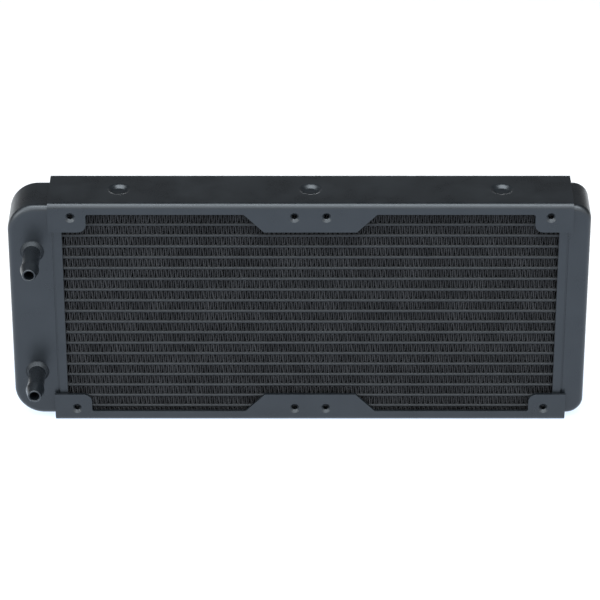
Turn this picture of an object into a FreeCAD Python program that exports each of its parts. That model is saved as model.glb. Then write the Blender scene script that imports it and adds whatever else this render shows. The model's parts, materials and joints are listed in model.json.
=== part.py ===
import FreeCAD, Part
import math
import os

# Liquid cooling radiator for two 120 mm fans, 274 x 119 x 31 mm.
# Origin: centre of the fan pattern along X, mid depth along Y, outer face of the bottom rail at Z = 0.
# X runs along the tubes, -Y is the side that carries the hose barbs, +Z is up. Millimetres.

os.makedirs("parts", exist_ok=True)

# ---- overall ----
HEIGHT = 119.0
DEPTH = 31.0
LEFT_END = -142.3
RIGHT_END = 131.7

# ---- side rails: one folded C-shaped sheet along the top and one along the bottom ----
RAIL_HALF_LENGTH = 123.0
SHEET = 1.5
BEND_RADIUS = 2.8
INNER_BEND_RADIUS = 1.3
FLANGE_HEIGHT = 5.4
TAB_HEIGHT = 14.8
CORNER_TAB_START = 105.2
CORNER_TAB_RADIUS = 4.0
CENTRE_TAB_HALF_BASE = 31.2
NOTCH_RADIUS = 1.0

# ---- fan screw holes, two standard 105 mm squares 15 mm apart ----
FAN_PITCH = 105.0
FAN_GAP = 15.0
FAN_HOLE_RADIUS = 1.25
FAN_HOLE_MOUTH_RADIUS = 2.6
FAN_HOLE_MOUTH_DEPTH = 1.1
FAN_HOLE_COLLAR_RADIUS = 2.55
FAN_HOLE_COLLAR_REACH = 1.1

# ---- pressed dimples along the middle of each rail ----
DIMPLE_XS = (-90.0, 0.0, 90.0)
DIMPLE_DEPTH = 1.5
DIMPLE_RIM_RADIUS = 5.0
DIMPLE_FLOOR_RADIUS = 3.1
DIMPLE_WALL = 0.9
DIMPLE_RIM_ROUND = 2.0
DIMPLE_FLOOR_ROUND = 0.8
DIMPLE_CLEARANCE = 0.15

# ---- core ----
TUBE_COUNT = 19
TUBE_PITCH = 5.875
TUBE_THICKNESS = 1.5
TUBE_WALL = 0.35
TUBE_RIB = 0.5
TUBE_HALF_LENGTH = 119.6
CORE_DEPTH = 25.0
FIN_DEPTH = 24.6
FIN_SHEET = 0.12
FIN_PITCH = 2.2
FIN_CREST = 0.5
FIN_PERIODS = 105
FIN_HALF_LENGTH = 116.4

# ---- header plates: shallow trays facing the tanks ----
HEADER_START = 116.8
HEADER_PLATE = 1.5
HEADER_RIM_END = 120.4
HEADER_DEPTH = 27.4
HEADER_RIM = 1.0
HEADER_CORNER = 3.7

# ---- end tanks: each has a lip that sits inside the header's rim ----
TANK_START = 121.4
TANK_LIP_START = 119.9
TANK_DEPTH = 26.0
TANK_INSET = 2.25
TANK_WALL = 1.6
TANK_ROUND = 3.0
LEFT_TANK_CORNER = 14.0
RIGHT_TANK_CORNER = 8.0
DIVIDER_SHEET = 1.2

# ---- hose ports ----
PORT_X = -131.0
PORT_OFFSET = 33.0
COLLAR_RADIUS = 5.5
COLLAR_SEAT_HEIGHT = 0.4
COLLAR_TOP_RADIUS = 4.2
COLLAR_HEIGHT = 2.0
COLLAR_ROUND = 0.3
BARB_NECK_RADIUS = 4.0
BARB_FLARE_RADIUS = 4.4
BARB_TIP_RADIUS = 3.2
BARB_BORE_RADIUS = 2.3
BARB_NECK_LENGTH = 16.1
BARB_FLARE_START = 16.6
BARB_FLARE_END = 17.8
BARB_LENGTH = 23.0
BARB_CHAMFER = 0.3
BARB_INSIDE = 2.3

MID_Z = HEIGHT / 2
X_AXIS = FreeCAD.Vector(1, 0, 0)
Y_AXIS = FreeCAD.Vector(0, 1, 0)
Z_AXIS = FreeCAD.Vector(0, 0, 1)


def point(x, y, z):
    return FreeCAD.Vector(x, y, z)


def block(x0, x1, y0, y1, z0, z1):
    return Part.makeBox(x1 - x0, y1 - y0, z1 - z0, point(x0, y0, z0))


def save(name, shape):
    """Write one node, as a single clean solid."""
    solid = shape.removeSplitter()
    if solid.ShapeType != "Solid":
        solid = solid.Solids[0]
    solid.exportStep(f"parts/{name}.step")


def edges_where(shape, test):
    return [edge for edge in shape.Edges if test(edge.BoundBox)]


def flip_over(shape):
    """The same shape turned upside down about mid height."""
    return shape.mirror(point(0, 0, MID_Z), Z_AXIS)


def flip_side(shape):
    """The same shape at the other end of the radiator."""
    return shape.mirror(point(0, 0, 0), X_AXIS)


def stadium(half_depth, half_thickness, y_mid, z_mid, x0, x1):
    """A bar along X whose section is a flat strip with round edges."""
    y_left = y_mid - half_depth + half_thickness
    y_right = y_mid + half_depth - half_thickness
    low, high = z_mid - half_thickness, z_mid + half_thickness
    left_nose = Part.Arc(
        point(x0, y_left, low), point(x0, y_mid - half_depth, z_mid), point(x0, y_left, high)
    )
    right_nose = Part.Arc(
        point(x0, y_right, high), point(x0, y_mid + half_depth, z_mid), point(x0, y_right, low)
    )
    outline = Part.Wire(
        [
            left_nose.toShape(),
            Part.makeLine(point(x0, y_left, high), point(x0, y_right, high)),
            right_nose.toShape(),
            Part.makeLine(point(x0, y_right, low), point(x0, y_left, low)),
        ]
    )
    return Part.Face(outline).extrude(point(x1 - x0, 0, 0))


# ---- side rails ----


def flange_notch():
    """The gap between the centre tab and a corner tab, as a bar through both flanges."""
    half_depth = DEPTH / 2 + 1.0
    above = TAB_HEIGHT + 1.0
    chamfer_run = above - FLANGE_HEIGHT
    tab_start, radius = CORNER_TAB_START, CORNER_TAB_RADIUS
    arc_middle = radius * (1 - math.sqrt(0.5))
    y = -half_depth
    corner = Part.Arc(
        point(tab_start, y, TAB_HEIGHT - radius),
        point(tab_start + arc_middle, y, TAB_HEIGHT - arc_middle),
        point(tab_start + radius, y, TAB_HEIGHT),
    )
    path = [
        point(CENTRE_TAB_HALF_BASE - chamfer_run, y, above),
        point(CENTRE_TAB_HALF_BASE, y, FLANGE_HEIGHT),
        point(tab_start, y, FLANGE_HEIGHT),
        point(tab_start, y, TAB_HEIGHT - radius),
    ]
    rest = [
        point(tab_start + radius, y, TAB_HEIGHT),
        point(tab_start + radius, y, above),
        point(CENTRE_TAB_HALF_BASE - chamfer_run, y, above),
    ]
    sides = [Part.makeLine(a, b) for a, b in zip(path, path[1:])]
    sides.append(corner.toShape())
    sides += [Part.makeLine(a, b) for a, b in zip(rest, rest[1:])]
    notch = Part.Face(Part.Wire(sides)).extrude(point(0, 2 * half_depth, 0))
    concave = edges_where(
        notch,
        lambda box: box.YLength > DEPTH and abs(box.ZMin - FLANGE_HEIGHT) < 0.01,
    )
    return notch.makeFillet(NOTCH_RADIUS, concave)


def fan_hole_positions():
    near = FAN_GAP / 2
    return [-near - FAN_PITCH, -near, near, near + FAN_PITCH]


def dimple(rail):
    """Press the row of dimples into the web of the bottom rail."""
    for x in DIMPLE_XS:
        boss = Part.makeCone(
            DIMPLE_RIM_RADIUS + DIMPLE_WALL,
            DIMPLE_FLOOR_RADIUS + DIMPLE_WALL,
            DIMPLE_DEPTH,
            point(x, 0, SHEET),
        )
        hollow = Part.makeCone(
            DIMPLE_RIM_RADIUS, DIMPLE_FLOOR_RADIUS, DIMPLE_DEPTH, point(x, 0, 0)
        )
        rail = rail.fuse(boss).cut(hollow)
    rims = edges_where(
        rail,
        lambda box: abs(box.XLength - 2 * DIMPLE_RIM_RADIUS) < 0.01 and box.ZMax < 0.01,
    )
    rail = rail.makeFillet(DIMPLE_RIM_ROUND, rims)
    floors = edges_where(
        rail,
        lambda box: abs(box.XLength - 2 * DIMPLE_FLOOR_RADIUS) < 0.01
        and abs(box.ZMax - DIMPLE_DEPTH) < 0.01,
    )
    return rail.makeFillet(DIMPLE_FLOOR_ROUND, floors)


def bottom_rail():
    length, half = RAIL_HALF_LENGTH, DEPTH / 2
    outer = block(-length, length, -half, half, 0, TAB_HEIGHT)
    bends = edges_where(outer, lambda box: box.XLength > length and box.ZMax < 0.01)
    outer = outer.makeFillet(BEND_RADIUS, bends)
    inner = block(-length - 1, length + 1, SHEET - half, half - SHEET, SHEET, TAB_HEIGHT + 1)
    inner_bends = edges_where(
        inner, lambda box: box.XLength > length and abs(box.ZMax - SHEET) < 0.01
    )
    rail = outer.cut(inner.makeFillet(INNER_BEND_RADIUS, inner_bends))
    notch = flange_notch()
    rail = rail.cut(notch).cut(flip_side(notch))

    hole_z = (HEIGHT - FAN_PITCH) / 2
    for x in fan_hole_positions():
        for side in (-1, 1):
            face_y = side * half
            inward = point(0, -side, 0)
            collar = Part.makeCylinder(
                FAN_HOLE_COLLAR_RADIUS,
                SHEET / 2 + FAN_HOLE_COLLAR_REACH,
                point(x, face_y - side * SHEET / 2, hole_z),
                inward,
            )
            middle = point(x, face_y, hole_z)
            hole = Part.makeCylinder(FAN_HOLE_RADIUS, 2 * SHEET + 1, middle, inward)
            mouth = Part.makeCone(
                FAN_HOLE_MOUTH_RADIUS, FAN_HOLE_RADIUS, FAN_HOLE_MOUTH_DEPTH, middle, inward
            )
            rail = rail.fuse(collar).cut(hole).cut(mouth)
    return dimple(rail)


rail = bottom_rail()
save("bottom_side_rail", rail)
save("top_side_rail", flip_over(rail))


# ---- flat tubes ----


def tube_heights():
    first = MID_Z - TUBE_PITCH * (TUBE_COUNT - 1) / 2
    return [first + TUBE_PITCH * i for i in range(TUBE_COUNT)]


def flat_tube(z):
    """A flat tube with two channels divided by a rib."""
    outer = stadium(CORE_DEPTH / 2, TUBE_THICKNESS / 2, 0, z, -TUBE_HALF_LENGTH, TUBE_HALF_LENGTH)
    channel_depth = (CORE_DEPTH - 2 * TUBE_WALL - TUBE_RIB) / 2
    offset = (channel_depth + TUBE_RIB) / 2
    end = TUBE_HALF_LENGTH + 1
    for side in (-1, 1):
        channel = stadium(
            channel_depth / 2, TUBE_THICKNESS / 2 - TUBE_WALL, side * offset, z, -end, end
        )
        outer = outer.cut(channel)
    return outer


for number, z in enumerate(tube_heights(), start=1):
    save(f"tube_{number:02d}", flat_tube(z))


# ---- corrugated fins ----


def offset_line(path, distance):
    """The path moved sideways by a distance, with mitred corners."""
    moved = []
    for i, (x, z) in enumerate(path):
        normals = []
        for a, b in ((i - 1, i), (i, i + 1)):
            if a < 0 or b >= len(path):
                continue
            dx, dz = path[b][0] - path[a][0], path[b][1] - path[a][1]
            size = math.hypot(dx, dz)
            normals.append((-dz / size, dx / size))
        nx = sum(n[0] for n in normals) / len(normals)
        nz = sum(n[1] for n in normals) / len(normals)
        scale = distance / (nx * nx + nz * nz)
        moved.append((x + nx * scale, z + nz * scale))
    return moved


def fin_strip(low, high, start):
    """One corrugated strip that touches the surfaces at low and high."""
    run = FIN_PITCH / 2 - FIN_CREST
    bottom, top = low + FIN_SHEET / 2, high - FIN_SHEET / 2
    path = []
    for i in range(FIN_PERIODS):
        x = start + i * FIN_PITCH
        path.append((x, bottom))
        path.append((x + FIN_CREST, bottom))
        path.append((x + FIN_CREST + run, top))
        path.append((x + 2 * FIN_CREST + run, top))
    path.append((start + FIN_PERIODS * FIN_PITCH, bottom))
    outline = offset_line(path, FIN_SHEET / 2) + offset_line(path, -FIN_SHEET / 2)[::-1]
    corners = [point(x, -FIN_DEPTH / 2, z) for x, z in outline]
    section = Part.Face(Part.makePolygon(corners + corners[:1]))
    return section.extrude(point(0, FIN_DEPTH, 0))


def clear_dimples(strip, web_z, inward):
    """Room under the rail for its pressed dimples."""
    radius = DIMPLE_RIM_RADIUS + DIMPLE_WALL + DIMPLE_CLEARANCE
    for x in DIMPLE_XS:
        room = Part.makeCylinder(
            radius,
            DIMPLE_DEPTH + DIMPLE_CLEARANCE + 1,
            point(x, 0, web_z - inward),
            point(0, 0, inward),
        )
        strip = strip.cut(room)
    return strip


heights = tube_heights()
half_tube = TUBE_THICKNESS / 2
floors = [SHEET] + [z + half_tube for z in heights]
ceilings = [z - half_tube for z in heights] + [HEIGHT - SHEET]
SPARE = 2 * FIN_HALF_LENGTH - FIN_PERIODS * FIN_PITCH
for number, (low, high) in enumerate(zip(floors, ceilings), start=1):
    # each strip starts at its own place along the tube, as cut strips do
    start = -FIN_HALF_LENGTH + SPARE * (0.15 + 0.7 * (number * 0.618 % 1))
    strip = fin_strip(low, high, start)
    if number == 1:
        strip = clear_dimples(strip, SHEET, 1)
    if number == len(floors):
        strip = clear_dimples(strip, HEIGHT - SHEET, -1)
    save(f"fin_{number:02d}", strip)


# ---- header plates ----


def rounded_bar(x0, x1, half_depth, z0, z1, radius):
    """A bar along X with its four long edges rounded."""
    bar = block(x0, x1, -half_depth, half_depth, z0, z1)
    long_edges = edges_where(bar, lambda box: box.XLength > (x1 - x0) / 2)
    return bar.makeFillet(radius, long_edges)


def header_pocket(x0, x1):
    """The space inside the header's rim."""
    return rounded_bar(
        x0,
        x1,
        HEADER_DEPTH / 2 - HEADER_RIM,
        SHEET + HEADER_RIM,
        HEIGHT - SHEET - HEADER_RIM,
        HEADER_CORNER - HEADER_RIM,
    )


def header_plate():
    """The right-hand plate: a tray with a slot for every tube."""
    floor = HEADER_START + HEADER_PLATE
    tray = rounded_bar(
        HEADER_START, HEADER_RIM_END, HEADER_DEPTH / 2, SHEET, HEIGHT - SHEET, HEADER_CORNER
    )
    tray = tray.cut(header_pocket(floor, HEADER_RIM_END + 1))
    for z in tube_heights():
        slot = stadium(CORE_DEPTH / 2, TUBE_THICKNESS / 2, 0, z, HEADER_START - 1, floor + 1)
        tray = tray.cut(slot)
    return tray


header = header_plate()
save("right_header_plate", header)
save("left_header_plate", flip_side(header))


# ---- end tanks ----


def pan(x0, x1, half_depth, z0, z1, corner, edge):
    """A block closed at x1: rounded corners there, and a rounded rim round front and back."""
    body = block(x0, x1, -half_depth, half_depth, z0, z1)
    corners = edges_where(
        body, lambda box: box.YLength > half_depth and abs(box.XMin - x1) < 0.01
    )
    body = body.makeFillet(corner, corners)
    rims = edges_where(body, lambda box: box.YLength < 0.01 and box.XMax > x0 + 0.01)
    return body.makeFillet(edge, rims)


def tank_space(end, corner):
    """The coolant space of a right-hand tank, from the mouth of its lip."""
    return pan(
        TANK_LIP_START,
        end - TANK_WALL,
        TANK_DEPTH / 2 - TANK_WALL,
        TANK_INSET + TANK_WALL,
        HEIGHT - TANK_INSET - TANK_WALL,
        corner - TANK_WALL,
        TANK_ROUND - TANK_WALL,
    )


def tank(end, corner):
    """A right-hand tank: a pressed shell and the lip that plugs into the header."""
    shell = pan(
        TANK_START, end, TANK_DEPTH / 2, TANK_INSET, HEIGHT - TANK_INSET, corner, TANK_ROUND
    )
    lip = header_pocket(TANK_LIP_START, TANK_START + TANK_WALL)
    return shell.fuse(lip).cut(tank_space(end, corner))


def port_heights():
    return {"inlet": MID_Z + PORT_OFFSET, "outlet": MID_Z - PORT_OFFSET}


TANK_FRONT = -TANK_DEPTH / 2
OUTWARD = point(0, -1, 0)

left_tank = flip_side(tank(-LEFT_END, LEFT_TANK_CORNER))
for z in port_heights().values():
    hole = Part.makeCylinder(
        BARB_NECK_RADIUS, 2 * TANK_WALL, point(PORT_X, TANK_FRONT + 1.5 * TANK_WALL, z), OUTWARD
    )
    left_tank = left_tank.cut(hole)
save("left_tank", left_tank)
save("right_tank", tank(RIGHT_END, RIGHT_TANK_CORNER))


def divider():
    """The plate that parts the left tank, between two tubes, wall to wall."""
    middle = MID_Z - TUBE_PITCH / 2
    slab = block(
        HEADER_START + HEADER_PLATE,
        -LEFT_END,
        -DEPTH / 2,
        DEPTH / 2,
        middle - DIVIDER_SHEET / 2,
        middle + DIVIDER_SHEET / 2,
    )
    mouth = header_pocket(HEADER_START + HEADER_PLATE, TANK_LIP_START)
    space = mouth.fuse(tank_space(-LEFT_END, LEFT_TANK_CORNER))
    return flip_side(slab.common(space))


save("left_tank_divider", divider())


# ---- hose ports ----


def turned(profile, z):
    """A body of revolution about the port axis, from (radius, height off the tank) pairs."""
    corners = [point(PORT_X + radius, TANK_FRONT - height, z) for radius, height in profile]
    section = Part.Face(Part.makePolygon(corners + corners[:1]))
    return section.revolve(point(PORT_X, 0, z), Y_AXIS, 360)


def collar(z):
    """The raised seat brazed on the tank round the barb."""
    ring = turned(
        [
            (BARB_NECK_RADIUS, 0),
            (COLLAR_RADIUS, 0),
            (COLLAR_RADIUS, COLLAR_SEAT_HEIGHT),
            (COLLAR_TOP_RADIUS, COLLAR_HEIGHT),
            (BARB_NECK_RADIUS, COLLAR_HEIGHT),
        ],
        z,
    )
    rim = edges_where(
        ring,
        lambda box: abs(box.XLength - 2 * COLLAR_RADIUS) < 0.01
        and abs(box.YMin - (TANK_FRONT - COLLAR_SEAT_HEIGHT)) < 0.01
        and box.YLength < 0.01,
    )
    return ring.makeFillet(COLLAR_ROUND, rim)


def barb(z):
    """A straight hose barb, open from end to end."""
    return turned(
        [
            (BARB_BORE_RADIUS, -BARB_INSIDE),
            (BARB_NECK_RADIUS, -BARB_INSIDE),
            (BARB_NECK_RADIUS, BARB_NECK_LENGTH),
            (BARB_FLARE_RADIUS, BARB_FLARE_START),
            (BARB_FLARE_RADIUS, BARB_FLARE_END),
            (BARB_TIP_RADIUS, BARB_LENGTH - BARB_CHAMFER),
            (BARB_TIP_RADIUS - BARB_CHAMFER, BARB_LENGTH),
            (BARB_BORE_RADIUS, BARB_LENGTH),
        ],
        z,
    )


for name, z in port_heights().items():
    save(f"{name}_collar", collar(z))
    save(f"{name}_barb", barb(z))
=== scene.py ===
import json
import math
import random

import bmesh
import bpy
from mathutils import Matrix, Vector
from mathutils.geometry import tessellate_polygon


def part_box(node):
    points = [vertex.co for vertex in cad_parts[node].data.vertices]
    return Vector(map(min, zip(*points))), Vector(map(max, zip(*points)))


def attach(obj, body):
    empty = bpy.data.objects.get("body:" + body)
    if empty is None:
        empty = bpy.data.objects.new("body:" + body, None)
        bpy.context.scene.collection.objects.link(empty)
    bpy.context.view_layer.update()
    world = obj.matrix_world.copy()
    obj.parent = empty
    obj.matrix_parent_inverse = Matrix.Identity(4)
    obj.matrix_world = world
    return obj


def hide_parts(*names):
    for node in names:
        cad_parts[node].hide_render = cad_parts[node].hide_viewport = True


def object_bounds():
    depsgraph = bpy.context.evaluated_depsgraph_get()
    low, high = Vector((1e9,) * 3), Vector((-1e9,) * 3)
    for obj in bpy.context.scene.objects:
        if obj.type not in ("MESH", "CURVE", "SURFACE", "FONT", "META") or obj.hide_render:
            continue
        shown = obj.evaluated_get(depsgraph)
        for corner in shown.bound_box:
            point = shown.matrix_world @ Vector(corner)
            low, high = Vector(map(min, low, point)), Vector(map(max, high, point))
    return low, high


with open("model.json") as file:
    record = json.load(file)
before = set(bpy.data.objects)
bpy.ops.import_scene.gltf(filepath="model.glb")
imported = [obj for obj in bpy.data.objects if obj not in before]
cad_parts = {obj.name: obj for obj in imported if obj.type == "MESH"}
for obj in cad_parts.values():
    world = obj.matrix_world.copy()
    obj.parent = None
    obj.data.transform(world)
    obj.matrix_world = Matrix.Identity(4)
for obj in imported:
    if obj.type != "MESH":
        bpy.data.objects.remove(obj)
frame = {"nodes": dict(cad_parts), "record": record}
cad_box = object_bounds()
nodes = frame["nodes"]
MM = 0.001
ROUND_STEPS = 48


# ---------------------------------------------------------------- materials


BEVEL_SAMPLES = 4
EDGE_TURN = (0.75, 0.98)
PATCH_SIZE = 14.0
SPECK_SIZE = 0.6
WEAR_SIZE = 2.2
WEAR_REACH = 0.35
FIN_GLOSS = 0.2
LOUVRE_PITCH = 1.2
LOUVRE_RELIEF = 0.08


class Tree:
    """A material's node tree, with short ways to add and join nodes."""

    def __init__(self, name):
        self.material = bpy.data.materials.new(name)
        self.material.use_nodes = True
        self.nodes = self.material.node_tree.nodes
        self.links = self.material.node_tree.links
        self.shader = self.nodes["Principled BSDF"]
        coords = self.nodes.new("ShaderNodeTexCoord")
        self.place = coords.outputs["Object"]

    def add(self, kind, **values):
        node = self.nodes.new(kind)
        for key, value in values.items():
            if hasattr(node, key):
                setattr(node, key, value)
            else:
                node.inputs[key.replace("_", " ")].default_value = value
        return node

    def join(self, source, target):
        self.links.new(source, target)

    def noise(self, size_mm, detail=3.0, roughness=0.55, stretch=(1, 1, 1)):
        """Noise whose features are about size_mm across."""
        scale = self.add("ShaderNodeMapping")
        scale.inputs["Scale"].default_value = [s / (size_mm * MM) for s in stretch]
        self.join(self.place, scale.inputs["Vector"])
        noise = self.add("ShaderNodeTexNoise", Scale=1.0, Detail=detail, Roughness=roughness)
        self.join(scale.outputs["Vector"], noise.inputs["Vector"])
        return noise.outputs["Fac"]

    def spread(self, source, low, high, start=0.3, end=0.7):
        """Maps the middle of a noise to the range low to high."""
        ramp = self.add("ShaderNodeMapRange")
        limits = {"From Min": start, "From Max": end, "To Min": low, "To Max": high}
        for key, value in limits.items():
            ramp.inputs[key].default_value = value
        self.join(source, ramp.inputs["Value"])
        return ramp.outputs["Result"]

    def blend(self, factor, first, second):
        """A colour between two, each a colour or a socket."""
        mix = self.add("ShaderNodeMix", data_type="RGBA")
        self.join(factor, mix.inputs["Factor"])
        for index, value in ((6, first), (7, second)):
            if isinstance(value, bpy.types.NodeSocket):
                self.join(value, mix.inputs[index])
            else:
                mix.inputs[index].default_value = (*value, 1.0)
        return mix.outputs[2]

    def bump(self, source, depth_mm, under=None):
        bump = self.add("ShaderNodeBump", Strength=1.0, Distance=depth_mm * MM)
        self.join(source, bump.inputs["Height"])
        if under is not None:
            self.join(under, bump.inputs["Normal"])
        return bump.outputs["Normal"]

    def edges(self, radius_mm):
        """0 on flat surfaces, rising where an edge is within radius_mm."""
        soft = self.add("ShaderNodeBevel", samples=BEVEL_SAMPLES, Radius=radius_mm * MM)
        geometry = self.add("ShaderNodeNewGeometry")
        product = self.add("ShaderNodeVectorMath", operation="DOT_PRODUCT")
        self.join(soft.outputs["Normal"], product.inputs[0])
        self.join(geometry.outputs["Normal"], product.inputs[1])
        return self.spread(product.outputs["Value"], 1.0, 0.0, *EDGE_TURN)


def enamel(name, colour, rough, grain_mm=1.3, grain_depth=0.004, wear=0.35, gloss=0.5):
    """Baked black enamel on aluminium: fine orange peel, patchy gloss, edges rubbed thin."""
    tree = Tree(name)
    patches = tree.noise(PATCH_SIZE, 4.0)
    specks = tree.noise(SPECK_SIZE, 2.0)
    light = [min(1.0, c * 1.35 + 0.001) for c in colour]
    base = tree.blend(tree.spread(patches, 0.0, 1.0), colour, light)
    rubbed = tree.add("ShaderNodeMath", operation="MULTIPLY")
    tree.join(tree.edges(WEAR_REACH), rubbed.inputs[0])
    scuffs = tree.spread(tree.noise(WEAR_SIZE, 5.0, 0.7), 0.0, wear, 0.45, 0.75)
    tree.join(scuffs, rubbed.inputs[1])
    worn = [min(1.0, c * 3.0 + 0.02) for c in colour]
    base = tree.blend(rubbed.outputs[0], base, worn)
    tree.join(base, tree.shader.inputs["Base Color"])
    matt = tree.add("ShaderNodeMath", operation="ADD")
    tree.join(tree.spread(patches, rough - 0.05, rough + 0.05), matt.inputs[0])
    tree.join(tree.spread(specks, -0.03, 0.03), matt.inputs[1])
    tree.join(matt.outputs[0], tree.shader.inputs["Roughness"])
    peel = tree.bump(tree.noise(grain_mm, 2.0), grain_depth)
    tree.join(tree.bump(specks, grain_depth * 0.5, peel), tree.shader.inputs["Normal"])
    tree.shader.inputs["Specular IOR Level"].default_value = gloss
    return tree.material


def bare_metal(name, colour):
    """Plain drawn aluminium, inside the tank."""
    tree = Tree(name)
    streaks = tree.noise(0.8, 4.0, 0.6, stretch=(0.05, 1, 1))
    tree.join(
        tree.blend(tree.spread(streaks, 0.0, 1.0), colour, [c * 0.85 for c in colour]),
        tree.shader.inputs["Base Color"],
    )
    tree.join(tree.spread(streaks, 0.3, 0.45), tree.shader.inputs["Roughness"])
    tree.join(tree.bump(streaks, 0.003), tree.shader.inputs["Normal"])
    tree.shader.inputs["Metallic"].default_value = 1.0
    return tree.material


def fin_paint(name, colour, rough):
    """Thin paint on the fin strips, ribbed by the louvres cut across their walls; its colour is
    given lighter than the rails' black, as painted fill light for the shaded channels of the core.
    """
    tree = Tree(name)
    patches = tree.noise(9.0, 4.0)
    dust = tree.noise(0.35, 3.0, 0.7)
    light = [c * 1.8 + 0.004 for c in colour]
    tree.join(
        tree.blend(tree.spread(patches, 0.0, 1.0), colour, light), tree.shader.inputs["Base Color"]
    )
    tree.join(tree.spread(dust, rough - 0.08, rough + 0.08), tree.shader.inputs["Roughness"])
    ribs = tree.add("ShaderNodeTexWave", Scale=1.0, Distortion=0.0, bands_direction="Y")
    scale = tree.add("ShaderNodeMapping")
    scale.inputs["Scale"].default_value = [math.pi / 10 / (LOUVRE_PITCH * MM)] * 3
    tree.join(tree.place, scale.inputs["Vector"])
    tree.join(scale.outputs["Vector"], ribs.inputs["Vector"])
    louvres = tree.bump(ribs.outputs["Fac"], LOUVRE_RELIEF)
    tree.join(tree.bump(dust, 0.01, louvres), tree.shader.inputs["Normal"])
    tree.shader.inputs["Specular IOR Level"].default_value = FIN_GLOSS
    return tree.material


BLACK = (0.004, 0.005, 0.006)
TUBE_BLACK = (0.011, 0.011, 0.011)
# The fins' black is lighter than the rails' black enamel: painted fill light, standing in for
# light that the deep channels of the core do not get.
FIN_BLACK_PAINTED_FILL = (0.019, 0.018, 0.018)
ALUMINIUM = (0.62, 0.63, 0.64)

PAINT = {
    "rail_paint": enamel("rail_enamel", BLACK, 0.32),
    "tank_paint": enamel("tank_enamel", BLACK, 0.32, 2.2, 0.006),
    "header_paint": enamel("header_enamel", BLACK, 0.36),
    "collar_paint": enamel("collar_enamel", BLACK, 0.46, gloss=0.32),
    "barb_paint": enamel("barb_enamel", BLACK, 0.30),
    "tube_paint": enamel("tube_enamel", TUBE_BLACK, 0.6, 0.9, 0.003, gloss=0.26),
    "fin_paint": fin_paint("fin_enamel", FIN_BLACK_PAINTED_FILL, 0.62),
    "bare_divider": bare_metal("drawn_aluminium", ALUMINIUM),
}


def dress(piece, material):
    piece.data.materials.clear()
    piece.data.materials.append(material)


RAIL_EDGE = 0.18
TANK_EDGE = 0.15
COLLAR_EDGE = 0.15
BARB_EDGE = 0.12
SOFT_ANGLE = math.radians(35)


def soften(piece, width_mm):
    """Welds the mesh along its edges, rounds the sharp ones and shades it smoothly."""
    weld = piece.modifiers.new("weld", "WELD")
    weld.merge_threshold = 1e-6
    bevel = piece.modifiers.new("bevel", "BEVEL")
    bevel.width = width_mm * MM
    bevel.segments = 2
    bevel.limit_method = "ANGLE"
    bevel.angle_limit = SOFT_ANGLE
    bevel.use_clamp_overlap = True
    bevel.harden_normals = False
    normals = piece.modifiers.new("normals", "WEIGHTED_NORMAL")
    normals.keep_sharp = False
    normals.weight = 60


slots = {s["node"]: s["material_slot"] for s in frame["record"]["subparts"]}
for name, piece in nodes.items():
    dress(piece, PAINT[slots[name]])


# ---------------------------------------------------------------- mesh building


class Skin:
    """A closed skin put together from flat fills and strips of faces, in millimetres."""

    def __init__(self, place=None):
        self.shape = bmesh.new()
        self.corners = {}
        self.place = place or (lambda x, y, z: (x, y, z))

    def corner(self, point):
        key = tuple(round(value, 4) for value in point)
        if key not in self.corners:
            self.corners[key] = self.shape.verts.new(Vector(self.place(*point)) * MM)
        return self.corners[key]

    def face(self, points):
        corners = list(dict.fromkeys(self.corner(p) for p in points))
        if len(corners) > 2:
            self.shape.faces.new(corners)

    def strip(self, first, second, closed=False):
        pairs = list(zip(first, second))
        if closed:
            pairs.append(pairs[0])
        for (a, b), (c, d) in zip(pairs, pairs[1:]):
            self.face((a, c, d, b))

    def rings(self, rings, closed=True):
        for first, second in zip(rings, rings[1:]):
            self.strip(first, second, closed)

    def fill(self, loops, across):
        """Fills a flat outline with holes in it. across is the axis that it is square to."""
        points = [p for loop in loops for p in loop]
        kept = [i for i in range(3) if i != across]
        flat = [[Vector([p[i] for i in kept]) for p in loop] for loop in loops]
        for corners in tessellate_polygon(flat):
            self.face([points[i] for i in corners])

    def finish(self, name, node, slot):
        bmesh.ops.recalc_face_normals(self.shape, faces=self.shape.faces)
        mesh = bpy.data.meshes.new(name)
        self.shape.to_mesh(mesh)
        self.shape.free()
        mesh.shade_smooth()
        piece = bpy.data.objects.new(name, mesh)
        bpy.context.scene.collection.objects.link(piece)
        dress(piece, PAINT[slot])
        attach(piece, "root")
        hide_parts(node)
        return piece


def arc(centre, radius, start, end, steps):
    """Points round part of a circle, angles in degrees."""
    turns = [math.radians(start + (end - start) * i / steps) for i in range(steps + 1)]
    return [(centre[0] + radius * math.cos(t), centre[1] + radius * math.sin(t)) for t in turns]


def circle(centre, radius, steps=ROUND_STEPS):
    return arc(centre, radius, 0, 360, steps)[:-1]


# ---------------------------------------------------------------- side rails

HEIGHT = (cad_box[1][2] - cad_box[0][2]) / MM
RAIL_END = 123.0
RAIL_HALF_DEPTH = 15.5
SHEET = 1.5
BEND = 2.8
FLANGE = 5.4
TAB = 14.8
CORNER_TAB = 105.2
CORNER_TAB_ROUND = 4.0
CENTRE_TAB = 31.2
NOTCH_ROUND = 1.0
HOLE_XS = (-112.5, -7.5, 7.5, 112.5)
HOLE_Z = 7.0
HOLE_RADIUS = 1.25
MOUTH_RADIUS = 2.6
MOUTH_DEPTH = 1.1
HOLE_COLLAR = 2.55
HOLE_END = 12.9
DIMPLE_XS = (-90.0, 0.0, 90.0)
DIMPLE_DEPTH = 1.5
DIMPLE_RIM = 5.0
DIMPLE_FLOOR = 3.1
DIMPLE_RIM_ROUND = 2.0
DIMPLE_FLOOR_ROUND = 0.8
BOSS_RIM = 4.6
BOSS_END = 2.6


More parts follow.
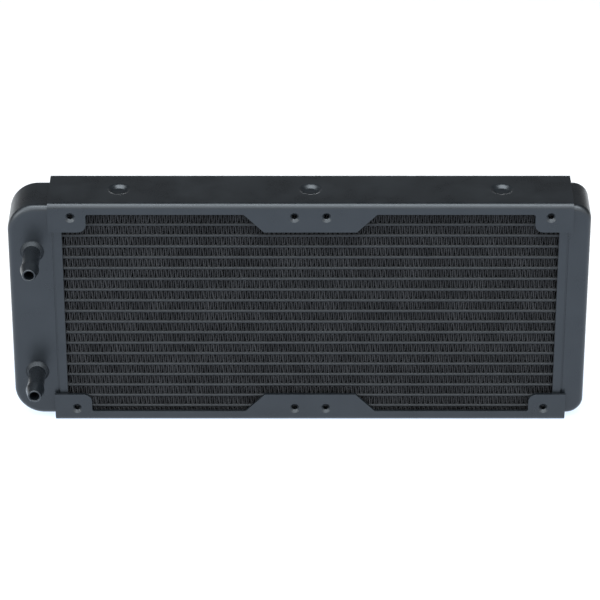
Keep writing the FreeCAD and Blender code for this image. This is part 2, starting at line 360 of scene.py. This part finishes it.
def flange_edge():
    """The free edge of a flange, from its right end to its left end, as (x, height)."""
    turn = NOTCH_ROUND * math.tan(math.radians(22.5))
    half = [(RAIL_END, BEND), (RAIL_END, TAB)]
    tab_centre = (CORNER_TAB + CORNER_TAB_ROUND, TAB - CORNER_TAB_ROUND)
    half += arc(tab_centre, CORNER_TAB_ROUND, 90, 180, 10)
    half += arc((CORNER_TAB - NOTCH_ROUND, FLANGE + NOTCH_ROUND), NOTCH_ROUND, 0, -90, 6)
    half += arc((CENTRE_TAB + turn, FLANGE + NOTCH_ROUND), NOTCH_ROUND, -90, -135, 4)
    half.append((CENTRE_TAB - (TAB - FLANGE), TAB))
    return half + [(-x, z) for x, z in reversed(half)]


def dimple_profile():
    """The dimple's outer surface from its rim to its flat floor, as (radius, depth)."""
    slope = math.atan2(DIMPLE_DEPTH, DIMPLE_RIM - DIMPLE_FLOOR)
    turn = math.degrees(slope)
    rim_reach = DIMPLE_RIM + DIMPLE_RIM_ROUND * math.tan(slope / 2)
    floor_reach = DIMPLE_FLOOR - DIMPLE_FLOOR_ROUND * math.tan(slope / 2)
    line = arc((rim_reach, DIMPLE_RIM_ROUND), DIMPLE_RIM_ROUND, 270, 270 - turn, 8)
    centre = (floor_reach, DIMPLE_DEPTH - DIMPLE_FLOOR_ROUND)
    return line + arc(centre, DIMPLE_FLOOR_ROUND, 90 - turn, 90, 6)


def web_face(skin, height, radius):
    inner = RAIL_HALF_DEPTH - BEND
    outline = [(-RAIL_END, -inner), (RAIL_END, -inner), (RAIL_END, inner), (-RAIL_END, inner)]
    loops = [outline] + [circle((x, 0), radius) for x in DIMPLE_XS]
    skin.fill([[(x, y, height) for x, y in loop] for loop in loops], 2)


def flange(skin, side):
    outer, inner = side * RAIL_HALF_DEPTH, side * (RAIL_HALF_DEPTH - SHEET)
    edge = flange_edge()
    skin.strip([(x, outer, z) for x, z in edge], [(x, inner, z) for x, z in edge])
    for y, radius in ((outer, MOUTH_RADIUS), (inner, HOLE_COLLAR)):
        loops = [edge] + [circle((x, HOLE_Z), radius) for x in HOLE_XS]
        skin.fill([[(x, y, z) for x, z in loop] for loop in loops], 1)
    profile = [
        (MOUTH_RADIUS, RAIL_HALF_DEPTH),
        (HOLE_RADIUS, RAIL_HALF_DEPTH - MOUTH_DEPTH),
        (HOLE_RADIUS, HOLE_END),
        (HOLE_COLLAR, HOLE_END),
        (HOLE_COLLAR, RAIL_HALF_DEPTH - SHEET),
    ]
    for x in HOLE_XS:
        rings = []
        for radius, depth in profile:
            rings.append([(u, side * depth, z) for u, z in circle((x, HOLE_Z), radius)])
        skin.rings(rings)
    middle = (RAIL_HALF_DEPTH - BEND, BEND)
    bends = [arc(middle, r, -90, 0, 10) for r in (BEND, BEND - SHEET)]
    for bend in bends:
        skin.rings([[(x, side * y, z) for x in (-RAIL_END, RAIL_END)] for y, z in bend], False)
    for x in (-RAIL_END, RAIL_END):
        ends = [[(x, side * y, z) for y, z in bend] for bend in bends]
        skin.strip(*ends)


def rail(node, upside_down):
    skin = Skin((lambda x, y, z: (x, y, HEIGHT - z)) if upside_down else None)
    for side in (-1, 1):
        flange(skin, side)
    profile = dimple_profile()
    web_face(skin, 0.0, profile[0][0])
    boss = [(BOSS_RIM, SHEET), (BOSS_END, SHEET + DIMPLE_DEPTH)]
    web_face(skin, SHEET, boss[0][0])
    for x in DIMPLE_XS:
        for line in (profile, boss):
            rings = [[(u, v, depth) for u, v in circle((x, 0), r)] for r, depth in line]
            skin.rings(rings)
            skin.face(rings[-1])
    inner = RAIL_HALF_DEPTH - BEND
    for x in (-RAIL_END, RAIL_END):
        skin.face([(x, -inner, 0), (x, inner, 0), (x, inner, SHEET), (x, -inner, SHEET)])
    soften(skin.finish(node + "_sheet", node, "rail_paint"), RAIL_EDGE)


rail("bottom_side_rail", False)
rail("top_side_rail", True)


# ---------------------------------------------------------------- end tanks

LEFT_TANK_END = 142.3
LEFT_TANK_CORNER = 14.0
RIGHT_TANK_END = 131.7
RIGHT_TANK_CORNER = 8.0
TANK_START = 121.4
LIP_START = 119.9
LIP_END = 121.9
TANK_HALF_DEPTH = 13.0
TANK_INSET = 2.25
TANK_WALL = 1.6
TANK_ROUND = 3.0
LIP_ROUND = 2.7
LIP_HALF_DEPTH = 12.7
LIP_INSET = 2.5
PORT_X = 131.0
PORT_HEIGHTS = {"inlet": 92.5, "outlet": 26.5}
NECK = 4.0


def tank_path(start, end, low, high, corner, inset):
    """Round the outside of a tank from its bottom to its top, as (x, z)."""
    radius = corner - inset
    path = [(start, low + inset)]
    path += arc((end - corner, low + corner), radius, -90, 0, 18)
    path += arc((end - corner, high - corner), radius, 0, 90, 18)
    return path + [(start, high - inset)]


def tank_shell(skin, start, end, half_depth, inset, corner, edge, ports):
    """A block with rounded corners at its end and a rounded rim round front and back."""
    rings = []
    for side in (-1, 1):
        profile = arc((0, half_depth - edge), edge, 90, 0, 8)
        if side > 0:
            profile.reverse()
        for reach, depth in profile:
            path = tank_path(start, end, inset, HEIGHT - inset, corner, edge - reach)
            rings.append([(x, side * depth, z) for x, z in path])
    skin.rings(rings, False)
    holes = []
    for z in ports:
        holes.append([(x, -half_depth, v) for x, v in circle((PORT_X, z), NECK)])
    skin.fill([rings[0]] + holes, 1)
    skin.fill([rings[-1]], 1)
    skin.fill([[ring[0] for ring in rings] + [ring[-1] for ring in reversed(rings)]], 0)
    return holes


def lip(skin):
    low, high = LIP_INSET, HEIGHT - LIP_INSET
    half = LIP_HALF_DEPTH
    outline = []
    for y, z, turn in ((half, low, -90), (half, high, 0), (-half, high, 90), (-half, low, 180)):
        centre = (y - math.copysign(LIP_ROUND, y), z + (LIP_ROUND if z == low else -LIP_ROUND))
        outline += arc(centre, LIP_ROUND, turn, turn + 90, 6)
    ends = [[(x, y, z) for y, z in outline] for x in (LIP_START, LIP_END)]
    skin.strip(*ends, closed=True)
    for end in ends:
        skin.fill([end], 0)


def tank(node, end, corner, side, ports=()):
    skin = Skin(lambda x, y, z: (side * x, y, z))
    outer = tank_shell(
        skin, TANK_START, end, TANK_HALF_DEPTH, TANK_INSET, corner, TANK_ROUND, ports
    )
    if ports:
        inner = tank_shell(
            skin,
            TANK_START + TANK_WALL,
            end - TANK_WALL,
            TANK_HALF_DEPTH - TANK_WALL,
            TANK_INSET + TANK_WALL,
            corner - TANK_WALL,
            TANK_ROUND - TANK_WALL,
            ports,
        )
        for outside, inside in zip(outer, inner):
            skin.strip(outside, inside, closed=True)
    lip(skin)
    soften(skin.finish(node + "_shell", node, "tank_paint"), TANK_EDGE)


tank("left_tank", LEFT_TANK_END, LEFT_TANK_CORNER, -1, PORT_HEIGHTS.values())
tank("right_tank", RIGHT_TANK_END, RIGHT_TANK_CORNER, 1)


# ---------------------------------------------------------------- hose barbs

BARB_PROFILE = [
    (2.3, -2.3), (4.0, -2.3), (4.0, 16.1), (4.4, 16.6), (4.4, 17.8), (3.2, 22.6), (2.9, 23.0),
    (2.55, 23.0), (2.3, 22.75),
]
COLLAR_PROFILE = [
    (4.0, 0.0), (5.7, 0.0), (5.55, 0.1), (5.5, 0.3), (5.3, 0.6), (4.35, 1.85), (4.2, 2.0),
    (4.0, 2.0),
]


def turned(name, node, slot, profile, z, width):
    """A body turned about a port's axis, from (radius, distance from the tank)."""
    skin = Skin()
    rings = []
    for radius, out in profile + profile[:1]:
        ring = circle((-PORT_X, z), radius, 64)
        rings.append([(x, -TANK_HALF_DEPTH - out, v) for x, v in ring])
    skin.rings(rings)
    soften(skin.finish(name, node, slot), width)


for port, z in PORT_HEIGHTS.items():
    turned(port + "_nozzle", port + "_barb", "barb_paint", BARB_PROFILE, z, BARB_EDGE)
    turned(port + "_seat", port + "_collar", "collar_paint", COLLAR_PROFILE, z, COLLAR_EDGE)


# ---------------------------------------------------------------- fins

FIN_SHEET = 0.1
FIN_PITCH = 2.2
FIN_END = 116.75
CREST_RADIUS = 0.42
CREST_JITTER = 0.13
FRONT_LEAN = 0.12
LOUVRE_TURN = 0.5
LOUVRE_DEPTHS = (0.02, 0.9, 1.9, 2.9, 3.9)
DIMPLE_ROOM_REACH = 6.5
DIMPLE_ROOM_DEPTH = 1.9
END_FADE = 2
FIN_SEED = 100
FIN_SHARP = math.radians(50)


def fin_line(low, high, start, end, draw, dimpled):
    """Centre line of a corrugated strip, as (x, z, lean of the front edge) in millimetres.

    dimpled is -1 or 1 for the strips that lie against a rail below or above them, where the
    crests under the dimples are pressed in.
    """
    count = int((end - start) / FIN_PITCH * 2)
    step = (end - start - 2 * CREST_RADIUS) / (count - 1)
    line = [(start, high, 0.0)]
    for i in range(count):
        jitter = 0.0 if i in (0, count - 1) else draw.uniform(-CREST_JITTER, CREST_JITTER)
        centre = start + CREST_RADIUS + step * i + jitter
        lean = draw.uniform(-FRONT_LEAN, FRONT_LEAN)
        at_top = i % 2 == 1
        level = high - CREST_RADIUS if at_top else low + CREST_RADIUS
        if dimpled == (1 if at_top else -1):
            if min(abs(centre - x) for x in DIMPLE_XS) < DIMPLE_ROOM_REACH:
                level -= dimpled * DIMPLE_ROOM_DEPTH
        sweep = (180, 0) if at_top else (180, 360)
        for x, z in arc((centre, level), CREST_RADIUS, *sweep, 3):
            line.append((x, z, lean))
    line.append((end, high if count % 2 else low, 0.0))
    return line


def fin_rows(near, far):
    """Depths through a strip, with the sideways turn of the louvred wall at each."""
    rows = []
    for i, depth in enumerate(LOUVRE_DEPTHS):
        turn = 0.0 if i == 0 else LOUVRE_TURN * (1 if i % 2 else -1)
        rows.append((depth, turn))
    front = [(near + depth, turn, i == 0) for i, (depth, turn) in enumerate(rows)]
    back = [(far - depth, -turn, False) for depth, turn in reversed(rows)]
    return front + back


def fin_strip(name, seed, dimpled):
    """A corrugated strip with round crests, louvred walls and slightly uneven front edges."""
    low, high = (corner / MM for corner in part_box(name))
    half = FIN_SHEET / 2
    draw = random.Random(seed)
    line = fin_line(low.z + half, high.z - half, half - FIN_END, FIN_END - half, draw, dimpled)
    rows = fin_rows(low.y, high.y)
    skin = Skin()
    sections = []
    for i, (x, z, lean) in enumerate(line):
        ahead, behind = line[min(i + 1, len(line) - 1)], line[max(i - 1, 0)]
        along = Vector((ahead[0] - behind[0], ahead[1] - behind[1])).normalized()
        across = Vector((-along.y, along.x)) * half
        ring = []
        for side, order in ((1, rows), (-1, rows[::-1])):
            for y, turn, is_front in order:
                shift = (lean if is_front else turn) * min(1.0, (FIN_END - abs(x)) / END_FADE)
                ring.append((x + shift + side * across.x, y, z + side * across.y))
        sections.append(ring)
    skin.rings(sections)
    skin.face(sections[0])
    skin.face(sections[-1])
    piece = skin.finish(name + "_strip", name, "fin_paint")
    piece.data.set_sharp_from_angle(angle=FIN_SHARP)


fin_names = sorted(name for name in nodes if name.startswith("fin_"))
against_rail = {fin_names[0]: -1, fin_names[-1]: 1}
for number, name in enumerate(fin_names):
    fin_strip(name, FIN_SEED + number, against_rail.get(name, 0))


# ---------------------------------------------------------------- stage


FRONT_GLOW = (0.74, 0.90, 1.14)
BACK_GLOW = (0.76, 0.76, 0.76)
FAR_GLOW = (0.25, 0.25, 0.25)
BEHIND_FADE = (-0.05, 0.10)
FAR_FADE = (0.36, 0.62)
PAPER = ((0.23, 0.23, 0.23), (0.26, 0.26, 0.26))
FLOOR_HALF = 6.0


def floor():
    """Pale paper that glows, in three tones from front to far behind."""
    mesh = bpy.data.meshes.new("floor")
    half = FLOOR_HALF
    corners = [(-half, -half, 0), (half, -half, 0), (half, half, 0), (-half, half, 0)]
    mesh.from_pydata(corners, [], [(0, 1, 2, 3)])
    piece = bpy.data.objects.new("floor", mesh)
    bpy.context.scene.collection.objects.link(piece)
    tree = Tree("floor_paper")
    grain = tree.noise(3.0, 3.0)
    tree.join(
        tree.blend(tree.spread(grain, 0, 1), *PAPER),
        tree.shader.inputs["Base Color"],
    )
    tree.shader.inputs["Roughness"].default_value = 0.9
    tree.shader.inputs["Specular IOR Level"].default_value = 0.1
    split = tree.add("ShaderNodeSeparateXYZ")
    tree.join(tree.place, split.inputs[0])
    depth = tree.spread(split.outputs["Y"], 0.0, 1.0, *BEHIND_FADE)
    near = tree.blend(depth, FRONT_GLOW, BACK_GLOW)
    far = tree.spread(split.outputs["Y"], 0.0, 1.0, *FAR_FADE)
    tree.join(tree.blend(far, near, FAR_GLOW), tree.shader.inputs["Emission Color"])
    tree.shader.inputs["Emission Strength"].default_value = 1.0
    dress(piece, tree.material)


def softbox(name, place, size, radiance, colour):
    """A rectangular light turned towards the middle of the radiator."""
    light = bpy.data.lights.new(name, "AREA")
    light.shape = "RECTANGLE"
    light.size, light.size_y = size
    light.energy = radiance * math.pi * size[0] * size[1]
    light.color = colour
    lamp = bpy.data.objects.new(name, light)
    lamp.location = place
    lamp.rotation_euler = (MIDDLE - Vector(place)).to_track_quat("-Z", "Y").to_euler()
    bpy.context.scene.collection.objects.link(lamp)


MIDDLE = Vector((0, 0, 0.06))
SOFTBOXES = [
    ("key", (-0.25, -1.15, 2.35), (3.2, 3.4), 1.6, (0.88, 1.0, 1.10)),
    ("strip", (-0.15, -0.48, 2.15), (4.4, 0.70), 5.8, (0.90, 1.0, 1.08)),
    ("left", (-1.75, -0.60, 0.90), (1.6, 1.2), 3.0, (0.92, 1.0, 1.06)),
    ("behind", (0.0, 2.60, 0.17), (0.9, 0.28), 6.0, (0.96, 1.0, 1.04)),
]
floor()
for box in SOFTBOXES:
    softbox(*box)


def studio(front, front_above, horizon, above):
    """World light: bright in front, dark behind, a little paler near the horizon there."""
    world = bpy.data.worlds.new("studio")
    world.use_nodes = True
    nodes, links = world.node_tree.nodes, world.node_tree.links
    coords = nodes.new("ShaderNodeTexCoord")
    split = nodes.new("ShaderNodeSeparateXYZ")
    links.new(coords.outputs["Generated"], split.inputs[0])

    def fade(axis, start, end, first, second):
        ramp = nodes.new("ShaderNodeMapRange")
        ramp.interpolation_type = "SMOOTHSTEP"
        ramp.inputs["From Min"].default_value = start
        ramp.inputs["From Max"].default_value = end
        links.new(split.outputs[axis], ramp.inputs["Value"])
        mix = nodes.new("ShaderNodeMix")
        mix.data_type = "RGBA"
        links.new(ramp.outputs["Result"], mix.inputs["Factor"])
        for index, colour in ((6, first), (7, second)):
            if isinstance(colour, bpy.types.NodeSocket):
                links.new(colour, mix.inputs[index])
            else:
                mix.inputs[index].default_value = (*colour, 1)
        return mix.outputs[2]

    ahead = fade("Z", 0.0, 0.5, front, front_above)
    back = fade("Z", 0.05, 0.35, horizon, above)
    links.new(fade("Y", -0.45, 0.0, ahead, back), nodes["Background"].inputs["Color"])
    bpy.context.scene.world = world


FRONT_SKY = (1.35, 1.45, 1.55)
FRONT_SKY_ABOVE = (2.1, 2.3, 2.5)
BACK_HORIZON = (0.3, 0.3, 0.3)
BACK_SKY = (0.14, 0.14, 0.14)
studio(FRONT_SKY, FRONT_SKY_ABOVE, BACK_HORIZON, BACK_SKY)
bpy.context.scene.view_settings.view_transform = "Standard"

LENS = 202.1
CAMERA_PLACE = (-0.0049, -1.3940, 0.8718)
CAMERA_DIP = 30.258
camera = bpy.data.cameras.new("camera")
camera.lens = LENS
camera.sensor_width = 36.0
camera.clip_end = 20.0
viewer = bpy.data.objects.new("camera", camera)
viewer.location = CAMERA_PLACE
viewer.rotation_euler = (math.radians(90 - CAMERA_DIP), 0, 0)
bpy.context.scene.collection.objects.link(viewer)
bpy.context.scene.camera = viewer
